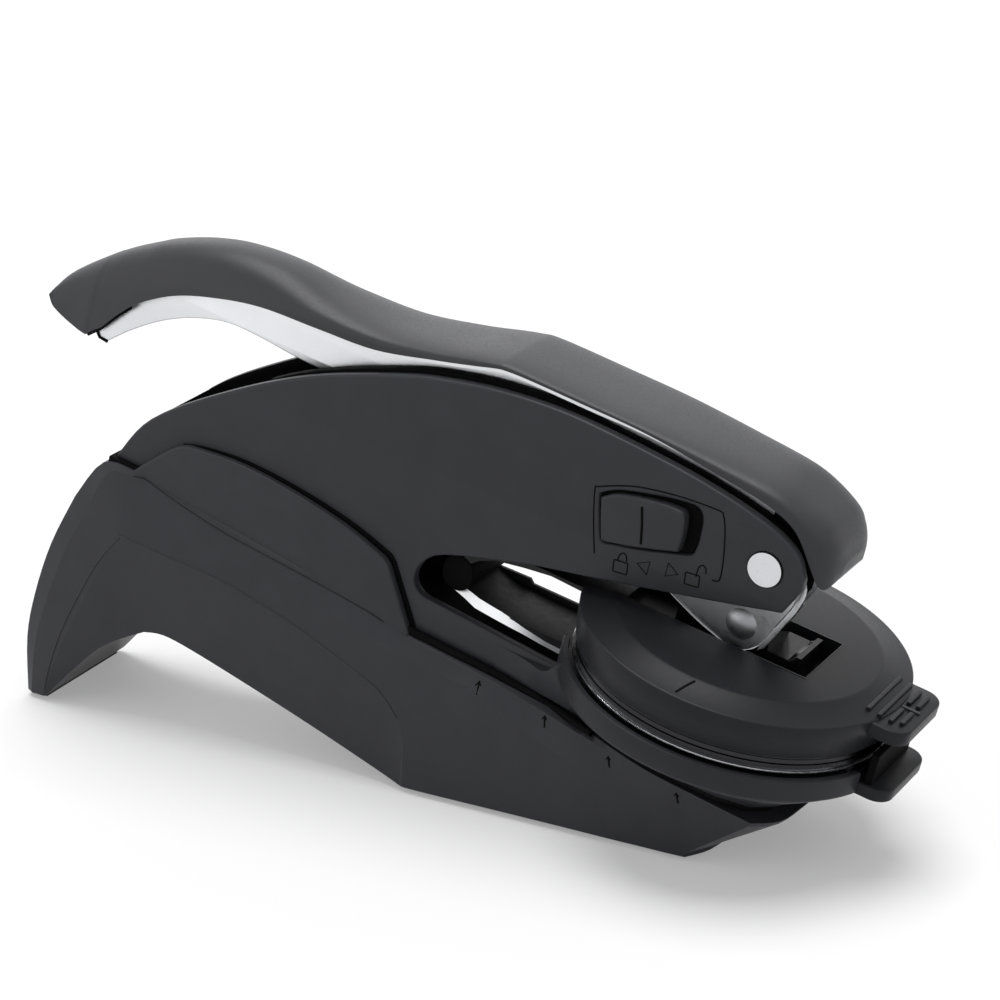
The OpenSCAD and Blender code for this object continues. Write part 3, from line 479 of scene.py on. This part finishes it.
# The concave corner between the jaw and the bowl: rows of a quadratic curve from the shell to the bowl
WEB_ROWS, WEB_STEPS = 8, 16
for side, name in SIDES:
    pts = []
    for j in range(WEB_ROWS + 1):
        f = j / WEB_ROWS
        g = f ** 1.3
        a, b, c = (-40.0, 11.52), (-29.6, 11.6), (-25.4 + 3.9 * g, 17.9 - 4.6 * g)
        for i in range(WEB_STEPS + 1):
            t = i / WEB_STEPS
            u, y = ((1 - t) ** 2 * p + 2 * t * (1 - t) * q + t * t * r for p, q, r in zip(a, b, c))
            rise = max(0.0, (t - 0.5) / 0.5)
            high = -16.8 + 5.7 * rise * rise * (3 - 2 * rise)
            pts.append(at(u, side * y, high + (HEAD_FOOT - high) * f))
        pts += [at(-22, side * 9.9, -16 - 4 * f), at(-34, side * 9.9, -16 - 4 * f)]
    solid("web_" + name, pts, tube_faces(WEB_ROWS + 1, WEB_STEPS + 3), BODY, "root", 50)

# A black floor in the throat under the clip: painted shade in the slot
block("slot_floor", (-58.4, -27.5), (-9.1, 9.1), (-17.6, -16.7), MARK, "root", 0.1)

# ---- Lock ---------------------------------------------------------------------
BUTTON = [(-28.4, 18.4), (-28.1, 19.4), (-25.9, 20.9), (-22.2, 22.1), (-16.9, 23.2), (-13.6, 23.4), (-12.7, 22.8),
          (-12.2, 21.0), (-12.0, 18.5), (-12.1, 16.5), (-12.7, 15.8), (-19.8, 13.2), (-23.9, 12.05), (-26, 11.5),
          (-26.8, 12.2)]


def on_button(u, y, w):
    """The button's face rises by 1.1 mm towards its front end."""
    return at(u, y - (1.1 * max(0.0, (u + 28) / 16) if y < -11.2 else 0.0), w)


button = plate("lock_button_skin", [smooth(BUTTON, 4, True)], -11.95, -10.5, BODY, "lock", 0.45, place=on_button)
plate("lock_stem", [round_box(-20.78, 17.99, 7, 3, 0.4, LOCK_SLOPE)], -10.7, -9.0, BODY, "lock", 0.05)
wire("lock_mark", [at(-20.6, -12.44, 21.0), at(-19.7, -12.5, 17.8), at(-19.0, -12.54, 14.4)], 0.24, MARK, "lock")
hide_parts("lock_button")


def mark(name, points, closed=False, r=0.12):
    """A thin black line on the right shell through points in (u, w)."""
    wire(name, [at(u, -11.5, w) for u, w in points], r, MARK, "root", closed)


mark("lock_frame", smooth([(-27.2, 8.4), (-28.9, 14.3), (-30.1, 19.9), (-29.6, 20.6), (-26.2, 22.3), (-22.6, 23.7),
                           (-17.3, 24.9), (-12.3, 25.6), (-7.2, 25.9), (-6.4, 25.4), (-5.6, 23.5), (-4.8, 20.4),
                           (-4.2, 17.2), (-3.9, 14.3), (-4.2, 13.4), (-5.2, 13.2)], 3), r=0.13)
for name, u, w, gap in (("shut", -21.9, 8.0, 0.0), ("open", -8.7, 11.6, 1.3)):
    mark("padlock_body_" + name, round_box(u, w, 2.7, 2.2, 0.2, 8, 2), True)
    rise = 1.5 + 0.5 * gap
    hoop = [(u - 0.8 + gap + 0.8 * (1 - math.cos(t)), w + rise + 1.3 * math.sin(t))
            for t in [math.pi * i / 8 for i in range(9)]]
    mark("padlock_hoop_" + name, [(u - 0.8 + gap, w + 0.9)] + hoop)
for name, u, w, way in (("left", -17.9, 10.1, -1), ("right", -12.6, 11.4, 1)):
    mark("arrow_" + name, [(u + way * 1.2, w), (u - way, w + 1.3), (u - way, w - 1.3)], True)

# ---- Lever ----------------------------------------------------------------------
BACK = [(-135.6, 7.4), (-131, 13.4), (-122, 19.6), (-110, 24.2), (-98, 26), (-86, 26.4), (-74, 28.6),
        (-60, 31.4), (-48, 32.6), (-40, 32.3), (-30, 31.8), (-12, 30.4), (0, 28.8), (6, 26.4), (8.6, 22.6)]
BELLY = [(9, 17), (8.4, 12), (6.2, 6.6), (4.4, 2.2), (0.6, -0.2), (-4.6, 1), (-9.6, 2.9), (-17, 6.4), (-30, 9.6),
         (-52, 13.6), (-76, 16.4), (-92, 16.6), (-102, 17.4), (-109.4, 17.4), (-116, 15.6), (-122.5, 12.4),
         (-128.7, 7.9), (-133.6, 3.4)]
back = smooth(BACK, 5)
side_line = back + smooth(BELLY, 5) + [(-135.4, 3.6), (-136.3, 5.0)]
near_arm = both_sides("lever_arm", [side_line, ring(*PIVOT_SPOT, 3.2)], 5.1, 6.5, LEVER, "lever", 0.3)
back = [p for p in back if p[0] < 6]
web = ([(-133.6, 3.6), (-135.2, 3.8), (-136.2, 5.0)] + back
       + [(u + (1.0 if u < -120 else 0), w - 1.4) for u, w in reversed(back)])
plate("lever_web", [web], -5.2, 5.2, LEVER, "lever", 0.2)
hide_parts("lever_channel")

LOBE_EDGE = smooth(BELLY[2:8], 6)
# Black lines at the rear end of the steel channel, on the arms and by the cover: painted shade at the channel's end
ARM_END_SHADE = ((-133.4, 3.5), (-135.2, 3.7), (-136.2, 5.0))
COVER_END_SHADE = ((-137.0, 3.9), (-134.8, 5.9), (-132.9, 8.2), (-131.2, 10.4), (-129, 12.8))
for side, name in SIDES:
    wire("lobe_edge_" + name, [at(u, side * 6.5, w + 0.1) for u, w in LOBE_EDGE], 0.2, STRAP, "lever")
    wire("arm_end_" + name, [at(u, side * 6.5, w) for u, w in ARM_END_SHADE], 0.3, MARK, "lever")
    wire("cover_seam_" + name, [at(u, side * 7.75, w) for u, w in COVER_END_SHADE], 0.3, MARK, "lever")

# Stations of the cover: u, edge w, crease w, crown w, half width
COVER_LINE = [
    (-148.6, 6.6, 7.3, 8.0, 4.9), (-147.4, 5.1, 8.2, 10.0, 5.2), (-145.6, 4.4, 9.6, 12.0, 5.6),
    (-142.6, 3.8, 11.9, 14.7, 6.3), (-138.6, 3.5, 14.6, 18.0, 7.4), (-137.2, 3.9, 15.4, 19.0, 7.6),
    (-134.6, 6.3, 16.8, 20.8, 8.0), (-131, 10.8, 18.7, 23.0, 8.4), (-127, 14.8, 20.6, 25.3, 8.7),
    (-120, 19.3, 23.0, 28.2, 9.1), (-112, 22.3, 25.0, 30.2, 9.3), (-102, 24.6, 26.6, 30.7, 9.4),
    (-90, 25.2, 27.0, 29.2, 9.2), (-78, 26.0, 27.6, 29.2, 9.2), (-66, 29.1, 30.1, 31.3, 9.5),
    (-58.5, 31.3, 32.2, 33.2, 9.8), (-54.5, 32.5, 33.3, 34.1, 9.8), (-52.5, 32.9, 33.6, 34.4, 9.8),
    (-48, 33.1, 33.7, 34.4, 9.8), (-38, 33.0, 33.5, 34.2, 9.8), (-24, 32.7, 33.2, 33.9, 9.8),
    (-10, 31.1, 31.9, 33.3, 9.8), (0, 29.6, 30.8, 32.5, 9.8), (6, 27.2, 29.2, 30.7, 9.8),
    (10.4, 21.8, 26.4, 29.0, 9.7), (12.2, 19.2, 24.4, 27.2, 9.2), (13.3, 18.5, 22.6, 25.6, 8.2),
    (14.0, 19.2, 21.8, 24.0, 6.8), (14.5, 20.5, 21.6, 22.9, 4.8)]
COVER_STEPS = 14                      # points from an edge of the cover to its crown
FACET = 0.25                          # share of them on the side facet of the handle


def clamp(value):
    """value kept between 0 and 1."""
    return min(1.0, max(0.0, value))


def handle_point(s, e, c, t, h, lean):
    """Half width and w at share s of the handle's section: a facet that leans in, then a round crown."""
    if s < FACET:
        return h - lean * (s / FACET) ** 1.5, e + (c - e) * s / FACET
    up = (s - FACET) / (1 - FACET)
    v = math.pi / 2 * up
    return (h - lean) * (0.5 * math.cos(v) ** 0.8 + 0.5 * (1 - up) ** 0.9), c + (t - c) * math.sin(v) ** 0.9


def nose_point(s, e, t, h, g):
    """Half width and w at share s of the flat section over the head; g is 1 at the nose."""
    a = math.radians(90 * s)
    return (h * math.cos(a) ** (0.75 - 0.25 * g),
            e + (t - e) * (0.25 + 0.05 * g + (0.75 - 0.05 * g) * math.sin(a) ** 0.8))


verts = []
cover_line = smooth(COVER_LINE, 6)
for u, e, c, t, h in cover_line:
    f = clamp((-70 - u) / 34)         # 1 on the handle, 0 over the head
    f = f * f * (3 - 2 * f)
    g = clamp((u + 4) / 12)
    half = [(h, e)]
    for i in range(1, COVER_STEPS + 1):
        s = i / COVER_STEPS
        handle, nose = handle_point(s, e, c, t, h, 1.3 * f), nose_point(s, e, t, h, g)
        half.append(tuple(a * f + b * (1 - f) for a, b in zip(handle, nose)))
    ceiling = min(e + 0.9 * min(1.0, max(0.05, (11 - u) / 4)), t - 0.8)
    k = min(6.7, h - 0.9)
    verts += [at(u, -y, w) for y, w in half] + [at(u, y, w) for y, w in reversed(half[:-1])]
    verts += [at(u, k, e), at(u, k * 0.98, ceiling), at(u, -k * 0.98, ceiling), at(u, -k, e)]
cover = solid("cover_skin", verts, tube_faces(len(cover_line), len(verts) // len(cover_line)), COVER, "lever", SOFT)
bevel(cover, 0.45, 34)
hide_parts("lever_cover")

# The bright edge of the channel under the cover
lip = [(u, e - 0.12, h) for u, e, _, _, h in cover_line if -96 < u < -14]
for side, name in SIDES:
    verts = []
    for i, (u, w, h) in enumerate(lip):
        drop = -0.6 * min(1.0, (len(lip) - 1 - i) / 8, 0.2 + i / 6)
        verts += [at(u, side * y, w + z) for y, z in ((6.3, 0), (h - 0.35, 0), (h - 0.35, drop), (6.3, drop))]
    solid("lip_" + name, verts, tube_faces(len(lip), 4), LEVER, "lever", SOFT)

# A black patch on the near arm by the pivot, under the cover's nose: painted shade in the gap
ARM_GAP_SHADE = [(0.7, 27.6), (4.9, 26.6), (7.0, 25.5), (9.1, 24.0), (10.3, 21.8), (10.8, 19.6), (10.8, 17.1),
           (10.1, 15.7), (8.3, 17.7), (4.8, 20.0), (-0.1, 23.7)]
ARM_FRONT = [(9.2, 18.7), (10.1, 16.5), (10.1, 14.5), (9.4, 11.6), (8.1, 8.6), (7.0, 5.8), (5.7, 2.8), (4.5, 1.7),
             (4.9, 3.0), (6.1, 6.2), (7.3, 9.0), (8.4, 11.7), (9.1, 14.3), (9.2, 16.3)]
plate("arm_gap", [ARM_GAP_SHADE], -6.9, -6.7, MARK, "lever", 0.05)
plate("arm_front_edge", [ARM_FRONT], -7.0, -6.7, CUT, "lever", 0.05)

# ---- Clip ---------------------------------------------------------------------------
RIM = [(28.2, -7.0), (28.9, -6.8), (29.35, -6.2), (29.5, -4.6), (29.6, -4.4), (29.6, -3.9), (29.7, -3.7),
       (30.0, -0.4), (29.95, -0.15), (29.8, 0.0), (29.6, 0.05), (24.6, 1.2), (24.2, 1.42), (23.6, 1.5),
       (0.01, 1.5), (0.01, -7.0)]
disc = spin("holder_disc", RIM, DISC, "clip_upper", angle=28, close=True)
cut(disc, (-45, 14.7), (-8.3, 8.3), (-3, 9))
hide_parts("upper_holder")


def tab(name, w0, w1, reach, back, body, r=3.5, half=9.5):
    """A finger tab from back to reach, seen from above, with front corners of radius r."""
    pts = [(back, -half), (reach - r, -half)]
    for a in range(10, 91, 10):
        a = math.radians(a)
        pts.append((reach - r + r * math.sin(a), -half + r - r * math.cos(a)))
    pts += [(u, -y) for u, y in reversed(pts)]
    return plate(name, [pts], w0, w1, DISC, body, 0.35, place=lambda u, w, y: at(u, y, w))


tab("holder_tab", -3.0, -0.3, 34.8, 20.0, "clip_upper")
# Ridges across the tab: u, half length, top w, half gap in the middle
for i, (u, half, high, gap) in enumerate(((26.6, 7.6, 1.15, 0), (28.7, 7.4, 0.75, 0), (30.8, 7.0, 0.4, 1.3),
                                          (32.6, 6.2, 0.4, 1.3))):
    spans = {0: (-half, -gap), 2: (gap, half)} if gap else {1: (-half, half)}
    for key, span in spans.items():
        block(f"tab_ridge_{i}_{key}", (u - 0.4, u + 0.4), span, (-1.0, high), DISC, "clip_upper", 0.18)
block("tab_mark", (30.2, 33.6), (-0.35, 0.35), (-1.0, 0.1), BODY, "clip_upper", 0.15)
wire("tick", [at(-0.3, -28.8, 0.16), at(0.3, -26.6, 0.7), at(1.0, -24.6, 1.2)], 0.24, MARK, "clip_upper")
block("slot_rib", (9.6, 10.8), (-7.9, 7.9), (-3.0, -1.6), BODY, "clip_upper", 0.2)

slot = ((3.4, -8.3), (14.7, -8.3), (14.7, 8.3), (3.4, 8.3))
wire("slot_edge", [at(u, y, 1.5) for u, y in slot], 0.14, GLOSS, "clip_upper")
SADDLE = [(2.5, 1.2), (4.6, 1.0), (5.6, -0.2), (6.8, -1.0), (8.0, -0.7), (9.0, 0.4), (9.8, 1.5), (10.8, 1.9),
          (11.7, 1.5), (11.9, -2.6), (2.5, -2.6)]
RAM_CHEEK = [(2.5, 1.0), (9.2, 1.0), (11.0, 2.3), (11.8, 2.0), (11.9, -2.6), (2.5, -2.6)]
plate("ram_saddle", [SADDLE], -4.7, 4.7, RAM, "ram", 0.25)
both_sides("ram_cheek", [RAM_CHEEK], 3.7, 4.75, RAM, "ram", 0.25)
slide = tab("slide_tab", -14.4, -12.0, 35.0, 26.5, "clip")
block("slide_keel", (-24, 27), (-9.5, 9.5), (-13.8, -9.7), BODY, "clip", 0.2)
block("slide_stop", (29.9, 31.4), (-8.7, 8.7), (-12.4, -6.2), MARK, "clip", 0.3)
block("slide_front", (20, 28.5), (-9.5, 9.5), (-14.1, -11.6), DISC, "clip", 0.3)
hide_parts("lower_slide")
TRAY_LINE = [(0.01, -9.7), (28.6, -9.7), (28.6, -9.35), (29.4, -9.3), (29.4, -9.0), (29.2, -8.9), (0.01, -8.9)]
tray = spin("tray_skin", TRAY_LINE, TRAY, "clip")
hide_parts("lower_tray")

# ---- Straps --------------------------------------------------------------------------
STRAP_LOWER = [(-54.6, -9.4), (-53.6, -11.2), (-50.5, -12.6), (-46, -13.5), (-40, -13.8), (20, -13.8),
               (20, -15.2), (-41, -15.2), (-47, -14.9), (-52, -14.0), (-55.4, -11.6)]
LOWER_LIP = [(-52.6, -12.2), (-44.7, -11.9), (-43.9, -12.7), (-20, -12.5), (-20, -14.0), (-50, -14.0)]
# The sloping edge of the lower strap, in a brighter steel than the strap: painted highlight. u, top w, bottom w
BRIGHT_EDGE = [(-54.4, -11.3, -12.2), (-50.5, -12.2, -13.5), (-48.3, -12.8, -14.4), (-46, -13.1, -14.6),
               (-43.5, -13.35, -14.8), (-41, -13.8, -14.95), (-38, -14.4, -15.1), (-34, -15.0, -15.45),
               (-26, -15.5, -15.9)]
STRAP_UPPER = [(-46.6, -2.6), (-44.4, -1.8), (-38.8, -1.2), (-31.4, -1.2), (-24.2, -1.0), (-22, -1.0), (-22, -2.6),
               (-25.4, -2.4), (-30, -2.1), (-35.6, -1.9), (-41, -2.7), (-46.6, -3.8)]
UPPER_REAR = [(-54, -6.6), (-50.5, -4.1), (-46.3, -2.6), (-46.3, -3.8), (-49.5, -5.2), (-52, -7.4)]
knuckle = ring(-53, -8.75, 2.8)
# The lower strap's face and far lip in near black: painted shade
lower_strap = plate("strap_lower_skin", [STRAP_LOWER], -6.3, 7.2, STRAP_SHADE, "clip", 0.1)
verts = [at(u, y, w) for u, high, low in BRIGHT_EDGE for y, w in ((-6.2, high), (-7.2, low), (-6.2, low))]
solid("strap_lower_edge", verts, tube_faces(len(BRIGHT_EDGE), 3), STRAP_HIGHLIGHT, "clip", 20)
plate("strap_lower_lip", [LOWER_LIP], 6.4, 7.2, STRAP_SHADE, "clip", 0.1)
plate("knuckle_lower_near", [knuckle], -6.9, -4.1, DARK, "clip", 0.3)
plate("knuckle_lower_far", [knuckle], 4.1, 6.9, DARK, "clip", 0.3)
plate("hinge_cover", [round_box(-53.2, -9.3, 6.2, 7.0, 3.0)], -7.3, 7.3, MARK, "clip", 0.3)
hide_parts("lower_strap")
upper_strap = plate("strap_upper_skin", [STRAP_UPPER], -7.2, 7.2, DARK, "clip_upper", 0.15)
plate("strap_upper_rear", [UPPER_REAR], -7.1, 7.1, DARK, "clip_upper", 0.15)
plate("knuckle_upper", [knuckle], -3.8, 3.8, DARK, "clip_upper", 0.3)
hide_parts("upper_strap")
NODES["hinge_pin"].data.materials[0] = MARK

# ---- Marks on the stand -------------------------------------------------------------
def on_stand(x, z, side=-1):
    """The point of the stand's outer side at x, z in millimetres."""
    hit, loc, _, _ = stand.ray_cast(Vector((x, side * 60, z)) * MM, Vector((0, -side, 0)))
    return loc / MM if hit else Vector((x, side * 15, z))


# The joint between the stand and the head: x, z, then x, y, z up to the bowl
JOINT = [(-57.0, 41.3), (-49, 38.4), (-41.8, 36.0), (-30.3, 30.4), (-26.5, 29.2), (-22, 27.9), (-13.3, 25.5),
         (-6, 23.1), (-1.5, 21.5)]
JOINT_FRONT = [(0.8, 12.9, 21.1), (4.4, 14.5, 20.6), (8.6, 15.6, 19.6)]
for side, name in SIDES:
    line = [(x, side * 12.2, z + 0.1) for x, z in smooth(JOINT, 4)] + [(x, side * y, z) for x, y, z in JOINT_FRONT]
    wire("joint_" + name, line, 0.75, MARK, "root")
CREASES = (
    # The cheek line is a thin wire of the darker disc black: painted shade along the crease; the side and leg lines
    # are beads of the stand's own black
    ("cheek", [(-87.1, 50.9), (-78.0, 46.8), (-68.9, 43.1), (-60.4, 40.4), (-51.9, 37.7), (-45.1, 35.4),
               (-38.4, 33.0), (-34.8, 31.4)], 0.12, DISC),
    ("side", [(-90.6, 38.3), (-79.6, 35.9), (-68.7, 33.6), (-60.1, 30.7), (-51.6, 27.4), (-43.1, 23.3),
              (-34.8, 18.9), (-30.7, 14.2)], 0.2, STAND),
    ("leg", [(-90.6, 38.3), (-96.4, 31.7), (-101.4, 23.8), (-106.0, 15.4), (-109.3, 7.2), (-110.7, 2.3)], 0.2, STAND))
for name, line, r, mat in CREASES:
    for side in (-1, 1):
        wire(f"crease_{name}_{side + 1}", [on_stand(x, z, side) for x, z in smooth(line, 4)], r, mat, "root")
for i, (x, z) in enumerate(((-14.5, 24.3), (-1.1, 20.6), (12.6, 16.6), (26.5, 13.3))):
    tip = on_stand(x, z)
    wire(f"guide_{i}", [on_stand(x + 0.35, z - 1.9), tip], 0.17, MARK, "root")
    wire(f"guide_head_{i}", [on_stand(x - 0.4, z - 0.6), tip, on_stand(x + 0.5, z - 0.6)], 0.13, MARK, "root")

# ---- Stage: floor, world, lights, camera -----------------------------------
scene = bpy.context.scene


def background_rays(nt):
    """1 for camera, glossy and transmission rays, which see the background as white, and 0 for the others."""
    rays = nt.nodes.new("ShaderNodeLightPath")
    seen = rays.outputs["Is Camera Ray"]
    for ray in ("Is Glossy Ray", "Is Transmission Ray"):
        add = nt.nodes.new("ShaderNodeMath")
        add.use_clamp = True
        nt.links.new(seen, add.inputs[0])
        nt.links.new(rays.outputs[ray], add.inputs[1])
        seen = add.outputs["Value"]
    return seen


def mix(nt, factor, first, second, surface):
    """Mixes two shaders into the input called surface."""
    node = nt.nodes.new("ShaderNodeMixShader")
    nt.links.new(factor, node.inputs["Fac"])
    nt.links.new(first, node.inputs[1])
    nt.links.new(second, node.inputs[2])
    nt.links.new(node.outputs["Shader"], surface)


FLOOR_HALF = 3.0
FLOOR_GLOW = 0.28                     # share of plain white that the camera sees in the floor
corners = [(x * FLOOR_HALF, y * FLOOR_HALF, 0) for x, y in ((-1, -1), (1, -1), (1, 1), (-1, 1))]
me = bpy.data.meshes.new("floor")
me.from_pydata(corners, [], [(0, 1, 2, 3)])
floor = bpy.data.objects.new("floor", me)
scene.collection.objects.link(floor)
white_paper = bpy.data.materials.new("floor_white")
white_paper.use_nodes = True
nt = white_paper.node_tree
paper = nt.nodes["Principled BSDF"]
paper.inputs["Base Color"].default_value = (0.86, 0.86, 0.86, 1)
paper.inputs["Roughness"].default_value = 0.9
paper.inputs["Specular IOR Level"].default_value = 0.0
glow = nt.nodes.new("ShaderNodeEmission")
part = nt.nodes.new("ShaderNodeMath")
part.operation = "MULTIPLY"
part.inputs[1].default_value = FLOOR_GLOW
nt.links.new(background_rays(nt), part.inputs[0])
mix(nt, part.outputs["Value"], paper.outputs["BSDF"], glow.outputs["Emission"],
    nt.nodes["Material Output"].inputs["Surface"])
me.materials.append(white_paper)
floor.location.z = -0.0002

world = bpy.data.worlds.new("studio")
scene.world = world
world.use_nodes = True
nt = world.node_tree
nt.nodes.clear()
out = nt.nodes.new("ShaderNodeOutputWorld")
dim, white = (nt.nodes.new("ShaderNodeBackground") for _ in range(2))
for node, strength in ((dim, 0.42), (white, 1.0)):
    node.inputs["Color"].default_value = (1, 1, 1, 1)
    node.inputs["Strength"].default_value = strength
mix(nt, background_rays(nt), dim.outputs["Background"], white.outputs["Background"], out.inputs["Surface"])


def aimed(name, data, way):
    """An object of the scene that looks along way."""
    o = bpy.data.objects.new(name, data)
    scene.collection.objects.link(o)
    o.rotation_euler = Vector(way).to_track_quat("-Z", "Y").to_euler()
    return o


def area(name, loc, size, power):
    """A square light that looks at the middle of the embosser."""
    light = bpy.data.lights.new(name, "AREA")
    light.energy = power
    light.size = size
    aimed(name, light, Vector((-0.02, 0, 0.05)) - Vector(loc)).location = loc


sun = bpy.data.lights.new("sun", "SUN")
sun.energy = 2.3
sun.angle = math.radians(38)
aimed("sun", sun, (0.10, -0.14, -1.0))
area("front_left", (-0.75, -0.75, 0.5), 0.9, 2.0)
area("right", (0.7, -0.1, 0.45), 0.4, 0.3)
area("back", (-0.5, 0.95, 0.62), 0.9, 2.0)

# The camera as fitted to the photograph
CAMERA_SPOT = Vector((0.2476, -0.4976, 0.2671))
CAMERA_AIM = Vector((-0.0191, 0.0, 0.0548))
cam = bpy.data.cameras.new("camera")
cam.sensor_width = 36.0
cam.lens = 120.95
cam.shift_x = 0.0052
cam.shift_y = -0.0079
scene.camera = aimed("camera", cam, CAMERA_AIM - CAMERA_SPOT)
scene.camera.location = CAMERA_SPOT
scene.view_settings.view_transform = "Standard"
